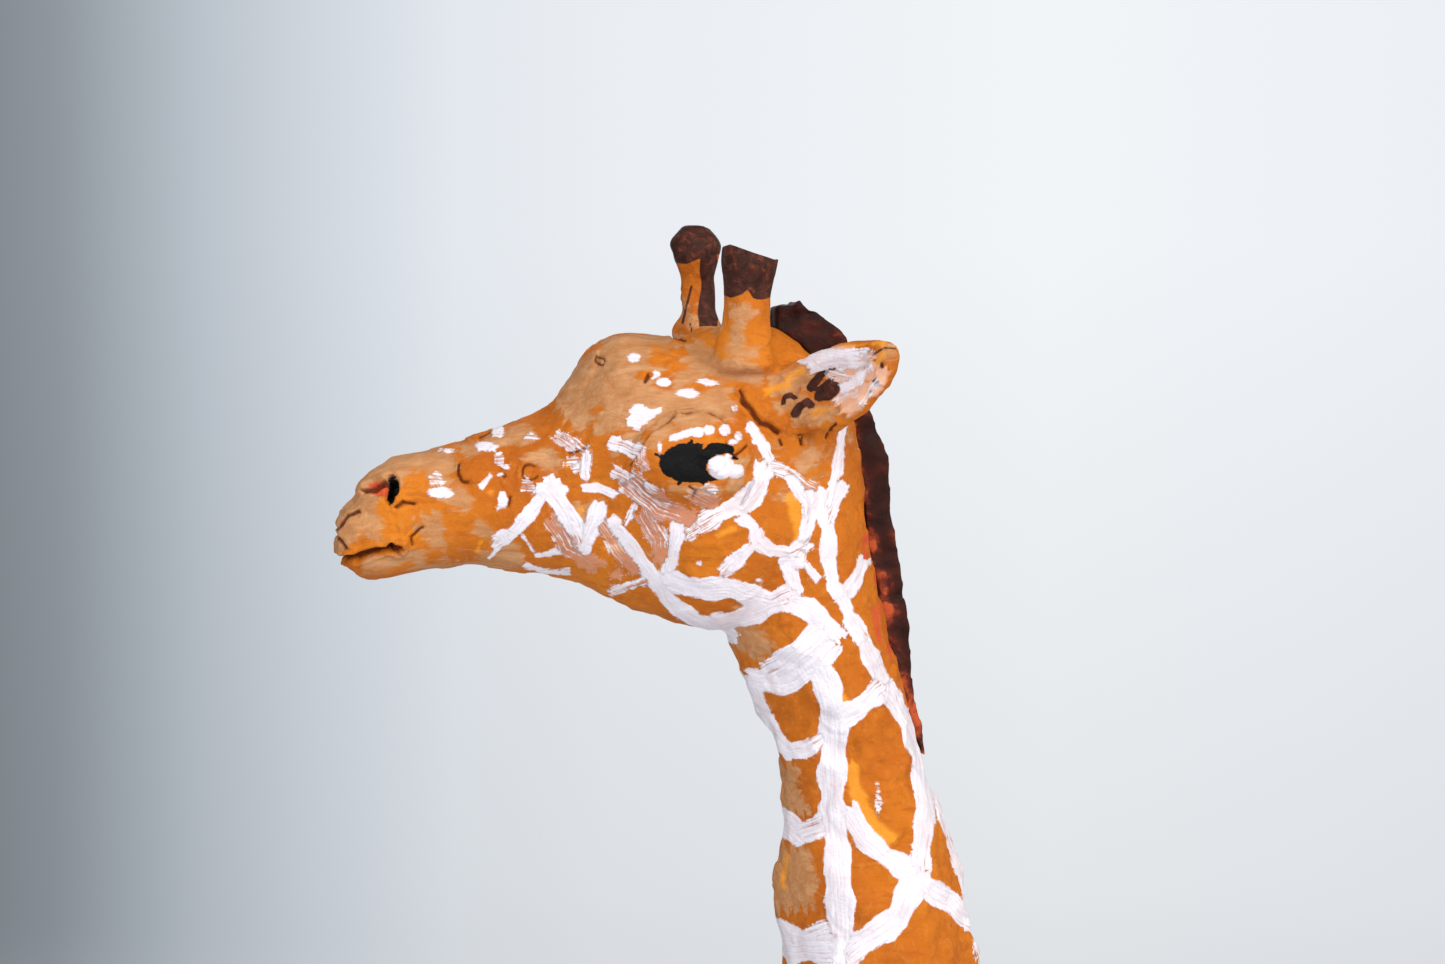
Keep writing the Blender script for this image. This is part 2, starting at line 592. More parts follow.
# The nostril is a slot pushed in with a knife tip, with a pocket of bare clay in front.
NOSTRIL = [(-152.7, 458.0, 0.95, 1.5, 1.0), (-153.2, 456.6, 0.75, 1.4, 1.0)]
POCKET = [(-154.7, 457.4, 1.7, 1.15, 1.0)]
# Hollows and swellings pressed into the face: u, v, half length, half height, rise in mm.
SWELLINGS = [
    (-103, 471.5, 8, 3, 0.7), (-121, 459, 7, 4, -0.6), (-99, 449, 8, 6, 0.5), (-146, 451, 4, 3, -0.5),
    (-155, 459, 3.4, 2.4, 0.7), (-157, 450.5, 3.5, 2.0, 0.6), (-156, 444.5, 4, 1.6, 0.3),
    (-151.3, 448.9, 1.1, 1.0, 0.8), (-117, 478, 5, 3.2, 0.5), (-90, 461, 4, 6, -0.5),
    (-139.1, 460.3, 2.0, 1.6, 0.35), (-127, 470, 8, 3.0, -0.4), (-112, 446, 5, 4, -0.35),
    (-135, 453.5, 4, 2.5, 0.3), (-143.5, 459.5, 2.2, 3, -0.3), (-99.7, 492.2, 0.8, 0.8, 0.9),
    (-95.5, 495.3, 0.7, 0.7, -0.5), (-84.5, 463.5, 2.5, 3, 0.4), (-108.5, 462, 4.0, 4.5, 0.25),
    (-100.6, 482.0, 2.4, 2.2, 1.2), (-91.6, 481.5, 1.6, 2.0, 0.5), (-78.5, 474.6, 4.6, 2.6, -0.75),
    (-88.5, 473.5, 3.5, 3.0, 0.5), (-79, 480.4, 6.0, 0.7, 0.35), (-133, 459.5, 3.0, 2.0, 0.35),
    (-106, 455, 5.0, 2.0, -0.35), (-126, 449, 5.0, 3.0, 0.35), (-160.5, 455.5, 2.0, 2.0, -0.4),
]
# The left horn's cap and the right one's, where the umber starts: the edge's line.
LEFT_CAP = [(-99.5, 488.2), (-98.5, 488.4), (-97.7, 488), (-96, 488.5), (-94.8, 489.4), (-94.1, 488.1),
            (-93.4, 487.7), (-92.3, 487.8), (-91, 488.2)]
RIGHT_CAP = [(-108, 493.2), (-107, 493.6), (-104.7, 493.5), (-102.1, 494.6), (-101.2, 495), (-99.5, 495)]

grain = CLAY_GRAIN * 1.0
core = WIRES[:4] + FOIL_CORES
skin, cad_points, cad_triangles, cad_owners = kneaded(BODY + core, grain)
shell = bmesh.new()
shell.from_mesh(skin)
floor_cut = (0, 0, (PLINTH_TOP + 0.1) / 1000)
bmesh.ops.bisect_plane(
    shell,
    geom=shell.verts[:] + shell.edges[:] + shell.faces[:],
    plane_co=floor_cut,
    plane_no=(0, 0, 1),
    clear_inner=True,
)
fine = [e for e in shell.edges if min(corner.co.z for corner in e.verts) > WORKED_ABOVE / 1000]
bmesh.ops.subdivide_edges(shell, edges=fine, cuts=1, use_grid_fill=True)
# Round the tool lines and the eye the clay is worked twice as fine again.
shell.verts.index_update()
spots = np.array([v.co[:] for v in shell.verts]) * 1000
u, v, facing = side_on(spots, np.tile((0.0, -1.0, 0.0), (len(spots), 1)))
tooled, _, _ = laid([(w, 1.0, line) for w, depth, line in CRACKS] + NOSTRIL + POCKET, u, v)
tooled = (tooled > -0.9) & (spots[:, 2] > 440)
tooled |= (abs(u + 101.5) < 8.5) & (abs(v - 463.5) < 5.5) & (spots[:, 2] > 440)
fine = [e for e in shell.edges if tooled[e.verts[0].index] and tooled[e.verts[1].index]]
bmesh.ops.subdivide_edges(shell, edges=fine, cuts=1, use_grid_fill=True)
bmesh.ops.triangulate(shell, faces=[f for f in shell.faces if len(f.verts) > 4])
shell.to_mesh(skin)
shell.free()

points = points_of(skin)
edges = edges_of(skin)
free = points[:, 2] > PLINTH_TOP + 0.3
points = np.where(free[:, None], rubbed(points, edges, 5), points)

# Which piece each point belongs to, before the surface is worked.
nearest = BVHTree.FromPolygons(cad_points.tolist(), cad_triangles[cad_owners < len(BODY)].tolist())
body_owner = cad_owners[cad_owners < len(BODY)]
point_owner = np.array([body_owner[nearest.find_nearest(p)[2]] for p in points.tolist()])

# The joins of neck, legs and tail are blended with wet clay: centre, radius and rounds.
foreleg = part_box("front_left_leg")
leg_y = -0.5 * (foreleg[0].y + foreleg[1].y) * 1000
neck_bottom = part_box("neck")[0].z * 1000
joins = [((-66.0, 0.0, neck_bottom + 6), 34.0)]
for side in (-1, 1):
    joins.append(((-54.0, side * leg_y, 200.0), 26.0))
    joins.append(((72.0, side * leg_y, 205.0), 30.0))
joins.append(((97.0, 0.0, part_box("tail")[1].z * 1000 - 4), 11.0))
for ear in ("left_ear", "right_ear"):
    ear_low, ear_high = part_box(ear)
    side = -1 if ear == "left_ear" else 1
    ear_in = 1000 * (ear_high.y if side < 0 else ear_low.y)
    joins.append(((1000 * ear_low.x + 1.5, ear_in + side * 1.0, 500 * (ear_low.z + ear_high.z)), 7.5))
blend = np.zeros(len(points))
for centre, radius in joins:
    reach = np.linalg.norm(points - np.array(centre), axis=1)
    blend = np.maximum(blend, 1 - smooth_step(reach, 0.5 * radius, radius))
points = rubbed(points, edges, 40, blend)

# Thumb and finger dents, then the small unevenness that handling leaves everywhere.
rng = np.random.default_rng(20)
normals = normals_of(skin, points)
on_head = smooth_step(points[:, 2], 425, 445)
rise = np.zeros(len(points))
for size, height, seed in ((9.0, 0.42, 1), (4.0, 0.24, 2), (1.7, 0.09, 3)):
    rise += height * lumps(points, size, seed) * (1 - 0.25 * on_head)
rise += 1.0 * lumps(points, 26.0, 4) * (1 - on_head) * smooth_step(points[:, 2], 24, 60)
for centre in points[rng.choice(len(points), 330)]:
    high = centre[2] > 430
    radius = rng.uniform(2.2, 4.2) if high else rng.uniform(4.0, 9.0)
    depth = rng.uniform(0.1, 0.26) if high else rng.uniform(0.15, 0.5)
    stretch = rng.uniform(0.45, 1.0)
    along = rng.normal(size=3)
    along /= np.linalg.norm(along)
    off = points - centre
    close = np.nonzero((off**2).sum(1) < (1.3 * radius / stretch) ** 2)[0]
    part = off[close] @ along
    reach = np.sqrt(((off[close] ** 2).sum(1) - part**2).clip(0) + (part * stretch) ** 2) / radius
    rise[close] -= depth * (1 - smooth_step(reach, 0.55, 1.0))
    rise[close] += 0.35 * depth * smooth_step(reach, 0.8, 1.05) * (1 - smooth_step(reach, 1.05, 1.3))
# Pellets of clay pressed on and smeared one way: each leaves a low step at one edge.
for centre in points[rng.choice(len(points), 900)]:
    high = centre[2] > 430
    radius = rng.uniform(2.0, 4.5) if high else rng.uniform(4.0, 8.5)
    height = rng.uniform(0.1, 0.3) if high else rng.uniform(0.18, 0.5)
    smeared = rng.normal(size=3)
    smeared /= np.linalg.norm(smeared)
    off = points - centre
    close = np.nonzero((off**2).sum(1) < (1.1 * radius) ** 2)[0]
    reach = np.linalg.norm(off[close], axis=1) / radius + 0.13 * lumps(points[close], 0.5 * radius, 77)
    toward = np.clip(0.5 + 0.5 * (off[close] @ smeared) / radius, 0, 1)
    rise[close] += height * toward * (1 - smooth_step(reach, 0.86, 1.0))

u, v, facing = side_on(points, normals)
lit = smooth_step(facing, 0.0, 0.35)
above = smooth_step(points[:, 2], 432, 440)
for cu, cv, ru, rv, height in SWELLINGS:
    rise += height * np.exp(-(((u - cu) / ru) ** 2) - ((v - cv) / rv) ** 2) * lit * above
crack = np.full(len(points), BARE)
for width, depth, line in CRACKS:
    deep, _, _ = laid([(width, 1.0, line)], u + 0.15 * lumps(points, 1.1, 8),
        v + 0.15 * lumps(points, 1.1, 9))
    deep = np.where(above > 0.5, deep, BARE)
    rise -= depth * smooth_step(deep, -0.3, 0.2) * smooth_step(facing, -0.3, 0.1)
    rise += 0.22 * depth * smooth_step(deep, -1.0, -0.5) * (1 - smooth_step(deep, -0.5, -0.25))
    crack = np.maximum(crack, np.where(facing > -0.2, deep, BARE))
for height, reach, line in LEDGES:
    near, _, at = laid([(2 * reach, 1.0, line)], u, v)
    step = smooth_step(near, 0.0, reach) * smooth_step(at[:, 1], -0.12, 0.12)
    taper = smooth_step(at[:, 0], -0.5, 1.5) * smooth_step(facing, -0.1, 0.2) * above
    rise += height * np.where(near > 0, step * taper, 0.0)
slot_depth, _, _ = laid(NOSTRIL, u, v)
pocket, _, _ = laid(POCKET, u, v)
head_only = above > 0.5
slot_depth = np.where(head_only & (facing > 0), slot_depth, BARE)
pocket = np.where(head_only & (facing > 0), pocket, BARE)
rise -= 2.2 * smooth_step(slot_depth, -0.4, 0.4) + 0.9 * smooth_step(pocket, -0.5, 0.5)
rise = np.where(free, rise, 0.0)
shaped = points + normals * rise[:, None]

# The horns are pinched by hand: the left one's top slopes back, and the right one has a
# round knob on a waisted stem.
horns = np.isin(point_owner, [BODY.index("left_horn"), BODY.index("right_horn")])
left, right = horns & (shaped[:, 1] < 0), horns & (shaped[:, 1] > 0)
far_u, far_v, _ = side_on(shaped, normals, mirrored=False)
slope = np.interp(far_u, [-99, -97.7, -94, -90.5], [496.2, 496.6, 495.3, 494.2])
shaped[:, 2] -= np.where(left, np.maximum(far_v - slope, 0), 0)
stem_axis = np.array([shaped[right, 0].mean() + 0.3, shaped[right, 1].mean()])
waist = 0.2 * smooth_step(far_v, 483.0, 486.5) * (1 - smooth_step(far_v, 490.5, 494.5))
knob = 0.42 * smooth_step(far_v, 496.0, 500.2)
squeeze = np.where(right, waist + knob, 0.0)[:, None]
shaped[:, :2] -= squeeze * (shaped[:, :2] - stem_axis)

# ---------------------------------------------------------------- paint on the clay
# Acrylic brushed over the orange clay by hand: a white net with strokes of 2 to 4.5 mm,
# dry lighter patches, umber hooves and horn tips, and satin black eyes.
WHITE_NECK = [
    (2.6, 0.9, [(-94.9, 426.7), (-92.5, 422.4), (-90.9, 418.4), (-88.2, 415.4), (-85.1, 416.1),
        (-82.4, 417.8)]),
    (3.5, 4, 1, [(-94.6, 427), (-89.2, 426.3), (-86.5, 427.7), (-83.8, 430), (-81.1, 432.6)]),
    (4.4, 0.97, [(-83.8, 430), (-81.8, 425.7), (-80.8, 420.1), (-80.8, 416.1), (-81.1, 411.8), (-81.1, 406.8),
                 (-80.4, 401.9), (-80.2, 396.9), (-79.7, 390.3), (-79.7, 383.7), (-80.5, 377)]),
    (3.6, 0.9, [(-80.8, 420.1), (-77.4, 422), (-74, 424.7), (-72.3, 426.7)]),
    (2.2, 1, [(-78.5, 441), (-77.2, 443), (-75.8, 446)]), (-73.7, 407.7, 0.6, 2, 0.6),
    (2.8, 3.4, 1, [(-76, 433.3), (-74, 429), (-72.3, 426), (-70.3, 422.4), (-68.3, 419.1), (-66.9, 414.8),
               (-66.2, 410.1), (-65.9, 405.2), (-66.6, 400.2), (-66.9, 396.9)]),
    (1.6, 2.4, 0.8, [(-65.6, 411.8), (-62.9, 405.2), (-60.8, 398.6), (-59.2, 393.6), (-57.8, 388.7),
        (-56, 380)]),
    (3.6, 1, [(-78.4, 405.9), (-75.7, 401.6), (-72.3, 398.6), (-68.3, 396.3), (-65.6, 393.6), (-62.2, 391.6),
              (-59.4, 389.3), (-54, 386)]),
    (4.4, 1, [(-66.9, 395.9), (-68.9, 392), (-70.6, 388.7), (-74, 386.3), (-77.4, 384.4), (-79.4, 382.7)]),
    (3.8, 0.95, [(-96, 403.2), (-89.8, 404.9), (-86.5, 402.2), (-82.4, 403.9)]),
    (3, 0.9, [(-96, 388.5), (-89.2, 387), (-85.8, 385.7), (-81.8, 387)]),
    (5.4, 1, [(-93, 383.6), (-88, 384.2), (-81, 384.2)]),
]
WHITE_CHEEK = [
    (2.6, 0.95, [(-119, 455.1), (-119.7, 452.1), (-120.9, 449.1), (-122.2, 446.8)]),
    (-121.6, 447.1, 1.2, 1.4, 1),
    (2.6, 1, [(-117.3, 452.2), (-115.5, 450.3), (-113.4, 447.4), (-111.3, 444.7), (-109.5, 442.6),
        (-108, 440),
              (-105.9, 438.2), (-102.8, 436.4), (-100.1, 435.5), (-97, 433.5)]),
    (-116.7, 452.1, 1.2, 1, 1),
    (2.4, 0.95, [(-106.2, 451.8), (-106.5, 449.1), (-107.4, 446.2), (-108, 444.1)]),
    (2.4, 0.9, [(-95.9, 453), (-93.8, 451.5), (-93.2, 449.1), (-91.4, 447.7), (-87.8, 447.1),
        (-85.1, 448.8)]),
    (2.2, 0.85, [(-94.4, 448.2), (-96.5, 446.2), (-98.9, 444.1)]),
    (3.4, 0.95, [(-108.6, 443.5), (-105, 442), (-101.3, 441.4), (-97.4, 441.7), (-95, 440.5), (-91, 439.5),
                 (-87.5, 441)]),
    (3, 0.95, [(-99.8, 436.1), (-95.3, 437), (-91.4, 438.5), (-88.1, 439.4)]),
    (3.4, 1, [(-88.1, 439.4), (-84.8, 438.2), (-82.1, 435.8), (-80.3, 433.8)]),
    (4, 0.97, [(-82, 435.5), (-86.3, 431.7), (-89.3, 429.3), (-91.7, 428.1)]),
    (2.2, 0.95, [(-86.3, 445.9), (-89, 445.6), (-87.8, 443.5), (-87.1, 441.1)]),
    (2.2, 0.9, [(-84.8, 457.1), (-84.9, 453), (-85.7, 449.1), (-86.6, 445.9)]),
    (2.6, 0.97, [(-83.3, 457.1), (-82.3, 453), (-81.5, 450), (-81.8, 446.5), (-80.9, 442.3), (-79.4, 439.7),
                 (-78, 436.5), (-76, 433.3)]),
    (2, 0.85, [(-79.3, 458.3), (-80.8, 455.1), (-82, 451.5)]),
    (1.4, 0.8, [(-85.7, 445.9), (-83.5, 442.9)]),
    (-102.7, 445.7, 0.45, 0.45, 1), (-93, 442.8, 0.6, 0.25, 1),
    (4.2, 3.0, 0.42, [(-114, 458.5), (-109.5, 454.5), (-104, 452.5)]),
    (3.6, 2.6, 0.38, [(-112, 453.5), (-109.5, 449.5), (-109, 446)]), (2.6, 0.35, [(-104, 457), (-100, 455)]),
    (2.4, 0.4, [(-119, 452), (-116, 447.5), (-113, 444.5)]),
    (3.0, 0.35, [(-127, 452.5), (-124, 448), (-119.5, 445)]),
    (1, 0.6, [(-113.1, 455.1), (-114.9, 451.8)]),
    (1.5, 0.6, [(-117, 441.1), (-113.4, 442.3), (-110.4, 443.2)]),
    (-116.4, 443.8, 1.6, 0.8, 0.3),
    (1.9, 0.9, [(-94.7, 467.8), (-92.9, 465.1), (-91.4, 462.8), (-91.1, 462.2)]),
    (2.2, 1.6, 0.55, [(-91, 461), (-87.5, 460), (-83.9, 457.2)]),
    (3.4, 3, 0.85, [(-92, 461), (-92.9, 458.3), (-94.1, 456.3), (-96.5, 454.7), (-99.5, 453.5),
        (-102.6, 451.8)]),
    (2.6, 0.55, [(-102.6, 451.8), (-104.7, 450.3)]),
    (2.2, 0.85, [(-88, 459.5), (-85.3, 455.4), (-85, 453)]),
    (1.5, 2, 0.9, [(-79.5, 468.1), (-79.6, 464.6), (-80.2, 460.4), (-81.4, 456.9), (-82, 454.5)]),
]
WHITE_FACE = [
    (-144.9, 456.8, 2.1, 0.9, 1), (-145.5, 459.1, 1.2, 1.2, 0.5), (-144.1, 463.5, 1.2, 0.4, 0.8),
    (-137.7, 464.4, 1.9, 0.8, 0.8), (-135.5, 466.8, 1, 0.9, 0.7), (-130.1, 465.8, 1.2, 0.5, 0.5),
    (-135.2, 462.2, 0.7, 1, 0.5), (-134.3, 460.9, 0.5, 0.4, 0.8), (-135.2, 459.7, 0.5, 0.4, 0.8),
    (0.8, 0.9, [(-138.5, 457.8), (-136.7, 459.8)]),
    (-134.9, 455.7, 0.85, 1.35, 1), (0.6, 0.9, [(-135.2, 455), (-135.9, 454.2)]),
    (2.4, 2.2, 0.92, [(-126, 458.8), (-128.4, 456.2), (-130.4, 453.7), (-132.4, 451.4), (-134.3, 449.7),
                      (-135.8, 448.8)]),
    (-134.6, 449.7, 1.4, 1.4, 1), (0.6, 0.9, [(-135, 448.2), (-137.1, 446.5)]),
    (3.2, 0.88, [(-128.1, 458.2), (-125.2, 454.8), (-123.4, 451.9), (-122.3, 449.1), (-122.6, 448.2)]),
    (-126.9, 457.4, 2.6, 1.5, 1), (-130.7, 457.9, 1.3, 1.2, 0.45),
    (1.4, 1, [(-121.7, 457.7), (-119.5, 457.8), (-116.2, 456.7)]),
    (0.6, 0.9, [(-131.6, 450.2), (-129.8, 447.4)]),
    (0.9, 0.85, [(-129.5, 446.8), (-126.3, 447.4), (-124.5, 447.2)]),
    (0.9, 0.8, [(-131.3, 445.4), (-128.1, 444.2), (-124, 444.3)]),
    (1.8, 0.5, [(-126, 465.9), (-123.1, 463.8)]),
    (1.6, 0.55, [(-124.9, 466), (-122.5, 464.6), (-121, 463.4)]),
    (1.6, 0.75, [(-121.3, 464), (-121.1, 462.8), (-121.4, 460), (-121.2, 459.5)]),
    (-123.4, 461.9, 1.3, 0.9, 0.55), (-122.8, 461, 0.9, 0.8, 0.6),
    (2.2, 0.6, [(-117.3, 465.1), (-112.5, 463.4), (-112.5, 462.2), (-111.3, 461.3)]),
    (2, 0.6, [(-116.5, 460.5), (-109.2, 456.3), (-108.5, 455.5)]),
    (-113.6, 478.5, 1.1, 0.7, 1), (-109.8, 475.8, 0.7, 0.6, 0.9), (-108.6, 474.5, 1.2, 0.8, 1),
    (-101.6, 474.6, 1.6, 0.55, 1), (-104.7, 472.8, 1.9, 0.8, 1), (-97, 470.4, 0.8, 0.45, 0.9),
    (3.2, 3.6, 1, [(-113.6, 469.2), (-112.4, 468.9)]), (2.9, 0.9, 1, [(-112.4, 469), (-108.9, 470.2)]),
]
EYE_LIGHTS = [
    (-99.2, 461, 2.25, 1.9, 1), (-96.8, 460.3, 1.35, 1.15, 1), (-98.2, 462.6, 0.7, 0.5, 1),
    (1.1, 1, [(-107.5, 465.6), (-103.9, 466.6)]), (-103, 466.6, 1.1, 0.9, 1), (-101.2, 466.9, 1, 0.8, 1),
    (-98.6, 466.9, 0.95, 0.95, 1), (-96.4, 465.9, 0.6, 0.8, 1), (-97.3, 465, 0.8, 0.5, 1),
    (-109.2, 464, 0.4, 0.8, 0.9),
]
EYE_SMEARS = [(-100.9, 457.5, 1, 1, 0.5), (-95.5, 457.2, 0.45, 0.45, 1)]
EYE_BLACK = [
    (-104, 461.7, 5.3, 3.2, 1), (-99.8, 463.3, 2.8, 1.7, 1), (-101.5, 460.7, 3.2, 2.2, 1),
    (0.9, 0.3, 1, [(-99.5, 463.6), (-98.0, 465.3)]), (1.0, 0.3, 1, [(-98.6, 462.9), (-96.3, 462.4)]),
    (0.8, 0.3, 1, [(-108.6, 462.6), (-109.9, 463.2)]), (0.9, 0.4, 1, [(-105.5, 459), (-106.3, 458.2)]),
    (0.8, 0.3, 1, [(-102.6, 459), (-101.9, 458.1)]), (0.8, 0.4, 1, [(-104.5, 464.4), (-104.0, 465.3)]),
]
EYE_WEDGE = [(0.3, 1.1, 1, [(-102, 464), (-101.5, 465.4)])]
TAN = [
    (6, 1, [(-164, 449), (-160, 452), (-156, 459), (-150, 461.5), (-144, 462.5)]),
    (4.5, 0.9, [(-147, 453), (-145, 449)]), (2.8, 0.8, [(-158, 445.5), (-150, 446), (-146, 445.5)]),
    (2.6, 0.8, [(-142, 463), (-136, 465.5), (-130, 467)]), (3, 0.8, [(-143, 457), (-140.5, 455.5)]),
    (7, 0.95, [(-124, 470), (-120, 476), (-114, 479.5), (-108, 480)]), (5, 0.9, [(-118, 473), (-110, 473)]),
    (4, 0.8, [(-120, 468), (-108, 470.5), (-100, 471.5)]), (2.5, 0.7, [(-106, 469.5), (-99, 469.8)]),
    (2.4, 0.8, [(-111.5, 464.5), (-108, 467.5), (-101, 468.6)]), (2, 0.7, [(-96, 478.5), (-93, 479)]),
    (6.5, 0.9, [(-90, 412), (-88.5, 406)]), (8, 0.9, [(-88, 399), (-87.5, 391)]),
    (5, 0.8, [(-97, 436), (-92, 431.5)]),
    (3, 0.5, [(-96.6, 486), (-96.6, 479)]), (3, 0.5, [(-86, 461), (-84, 464)]),
    (3, 0.6, [(-118, 455), (-126, 453)]), (3, 0.5, [(-139, 452), (-133, 447.5)]),
    (3.4, 0.6, [(-150, 446.5), (-140, 445.2), (-132, 446)]), (3, 0.5, [(-97, 483.5), (-94.5, 487)]),
    (4, 0.55, [(-104, 480), (-99, 476.5), (-93, 476)]), (5, 0.8, [(-112, 471.5), (-104, 471), (-98, 471.5)]),
    (3, 0.6, [(-106, 475), (-101, 477)]), (3.6, 0.7, [(-157, 454), (-154, 450)]),
    (4, 0.8, [(-150, 459.5), (-143, 460)]),
    (3, 0.7, [(-146.5, 450), (-143, 446.5)]), (3, 0.6, [(-131, 463), (-126, 461)]),
    (2.6, 0.6, [(-113, 466), (-117, 462.5)]),
    (2.2, 0.6, [(-108, 457.5), (-99, 456.5)]), (3.4, 0.9, [(-163, 453), (-159, 457.5)]),
    (3, 0.6, [(-96, 462), (-96.5, 457.5)]),
    (2.4, 0.5, [(-100.5, 487), (-100.5, 483)]), (2.6, 0.8, [(-105.6, 493), (-105.6, 483)]),
]
ORANGE_BACK = [
    (3.4, 1, [(-150.5, 456.5), (-148.3, 459)]), (4, 1, [(-153.5, 452), (-150.5, 452)]),
    (4.5, 1, [(-142, 450), (-141.5, 447)]), (3.4, 1, [(-139.7, 460.4), (-138.5, 460.3)]),
    (1.6, 1, [(-147, 446.3), (-145, 447.2)]), (2.6, 1, [(-110, 478.6), (-106.4, 478.2)]),
    (2.2, 1, [(-107.8, 477.2), (-106, 478)]),
]
GOLD = [
    (2.6, 1, [(-82.1, 428.6), (-80.9, 425.4), (-79.3, 422.6)]),
    (2.4, 1, [(-77.9, 413.5), (-77.5, 410.5), (-76.2, 406.4), (-74.0, 403.4), (-71.2, 401.3)]),
    (1, 1, [(-88.5, 398.9), (-89.2, 393.6)]), (0.6, 1, [(-138.3, 449.2), (-138.8, 447.5)]),
    (-137, 457, 0.6, 0.4, 1), (-116.5, 448, 1.6, 0.6, 1), (0.9, 1, [(-100, 450), (-96.5, 451.5)]),
    (-124, 461.5, 0.7, 0.5, 1), (-119.5, 458.5, 0.7, 0.4, 1), (-122, 454, 0.5, 0.8, 1),
    (2.2, 0.8, [(-87.5, 456.5), (-86.3, 449)]), (1.4, 0.8, [(-88, 474.5), (-92, 473)]),
]
# The ears are cupped leaves pinched out behind the horns: lilac white and rose on the open
# face, ochre at the tip, and umber marks at the root.
EAR_WHITE = [
    (3.0, 1.6, 0.95, [(-86, 479.0), (-82.5, 479.2), (-78.5, 478.9), (-75.5, 479.2)]),
    (2.6, 0.85, [(-84.5, 477.2), (-80.5, 478.2), (-76, 478.2)]), (2.0, 1.0, 0.6, [(-80, 477), (-74.5, 479)]),
    (1.6, 0.75, [(-79.5, 473.6), (-76.5, 475.4), (-74.8, 477)]), (1.2, 0.45, [(-82, 476), (-78, 475)]),
    (1.0, 0.5, [(-80.5, 471.5), (-77, 473)]), (1.0, 0.5, [(-76.5, 471), (-73.6, 474.8)]),
]
EAR_ROSE = [
    (5.5, 1, [(-79.5, 471.5), (-76.2, 474.5)]), (4, 1, [(-81, 476), (-74.5, 477)]),
    (3.4, 1, [(-84.5, 478), (-78, 479)]),
    (2.4, 1, [(-74.5, 473), (-72.8, 476.5)]),
]
EAR_GOLD = [(0.9, 1, [(-73.6, 477.6), (-72.4, 479.4)]), (0.8, 1, [(-79, 480.3), (-72.5, 480.9)]),
    (1.2, 1, [(-88.5, 475.4), (-85.8, 476.6)]),
            (0.9, 1, [(-84.3, 469.4), (-82.2, 470.4)])]
EAR_TAN = [
    (4.0, 1, [(-86.5, 469.8), (-81, 469.4)]), (4.6, 0.9, [(-90.5, 474), (-84.5, 476)]),
    (3, 0.8, [(-90, 470.5), (-86, 472)]),
    (2.2, 1, [(-73.2, 478.4), (-71, 479.6)]),
]
EAR_UMBER = [
    (0.8, 1, [(-89, 471), (-88.9, 472.2), (-87.9, 472.5), (-87, 472)]),
    (1.5, 1, [(-87.1, 469.3), (-86.2, 470.8), (-85, 471.5), (-84.3, 470.7)]),
    (1.4, 1, [(-80.6, 477.3), (-82, 476.6), (-83.2, 475.2), (-84.7, 473.4)]),
    (2.4, 1, [(-83.5, 472.5), (-82, 473), (-80.5, 474.3)]),
    (0.8, 1, [(-74.2, 475), (-73.6, 474.2)]), (-74.6, 473, 0.35, 0.35, 1), (-72.8, 477.2, 0.35, 0.5, 1),
    (0.35, 1, [(-75, 478.3), (-73.5, 479.4), (-72, 480.1), (-70.8, 480)]),
]
# The net over the body: how far apart its meshes are, by height, and how wide its lines.
NET_WIDTH = 4.3
NET_LOW, NET_HIGH = 92.0, 128.0

normals = normals_of(skin, shaped)
u, v, facing = side_on(shaped, normals)
brushed_to = np.where(facing > -0.15, 0.0, -1.0) * smooth_step(-facing, 0.15, 0.5)
wave_u = u + 0.22 * lumps(shaped, 2.2, 11)
wave_v = v + 0.22 * lumps(shaped, 2.2, 12)
upper = shaped[:, 2] > WORKED_ABOVE
white, cover, brush = laid(WHITE_NECK + WHITE_CHEEK + WHITE_FACE + EYE_SMEARS, wave_u, wave_v)
white = np.where(horns, -3.0, white)

hoof_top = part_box("front_left_hoof")[1].z * 1000
tuft_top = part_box("tail_tuft")[1].z * 1000
in_tail = np.isin(point_owner, [BODY.index("tail"), BODY.index("tail_tuft")])

# Cells of the net: seeds thrown over the body with a spacing that shrinks down the legs.
spacing = np.where(shaped[:, 2] > 300, 21.0, np.where(shaped[:, 2] > 180, 27.0, 17.0))
seeds = []
for number in rng.permutation(len(shaped))[:9000]:
    p = shaped[number]
    if not 70 < p[2] < WORKED_ABOVE + 12:
        continue
    gaps = [(p[0] - s[0]) ** 2 + (p[1] - s[1]) ** 2 + (p[2] - s[2]) ** 2 for s in seeds]
    if all(gap > spacing[number] ** 2 for gap in gaps):
        seeds.append(p)
seeds = np.array(seeds)
below = np.nonzero(shaped[:, 2] < WORKED_ABOVE + 14)[0]
q = shaped[below] + 1.6 * np.stack([lumps(shaped[below], 9, 50 + k) for k in range(3)], 1)
first, second = np.empty(len(q), int), np.empty(len(q), int)
for start in range(0, len(q), 20000):
    part = q[start : start + 20000]
    reach = ((part[:, None, :] - seeds[None]) ** 2).sum(2)
    order = np.argpartition(reach, 1, axis=1)[:, :2]
    near = np.take_along_axis(reach, order, 1)
    swap = near[:, 0] > near[:, 1]
    first[start : start + 20000] = np.where(swap, order[:, 1], order[:, 0])
    second[start : start + 20000] = np.where(swap, order[:, 0], order[:, 1])
between = seeds[second] - seeds[first]
gap = np.linalg.norm(between, axis=1)
toward = between / gap[:, None]
edge = ((q - seeds[second]) ** 2).sum(1) - ((q - seeds[first]) ** 2).sum(1)
edge = edge / (2 * gap)
width = NET_WIDTH * (0.85 + 0.3 * lumps(shaped[below], 14, 60)) * (0.7 + 0.3 * smooth_step(q[:, 2], 110, 190))
net = width / 2 - edge - 4.0 * (1 - smooth_step(q[:, 2], NET_LOW, NET_HIGH))
path = np.cross(normals[below], toward)
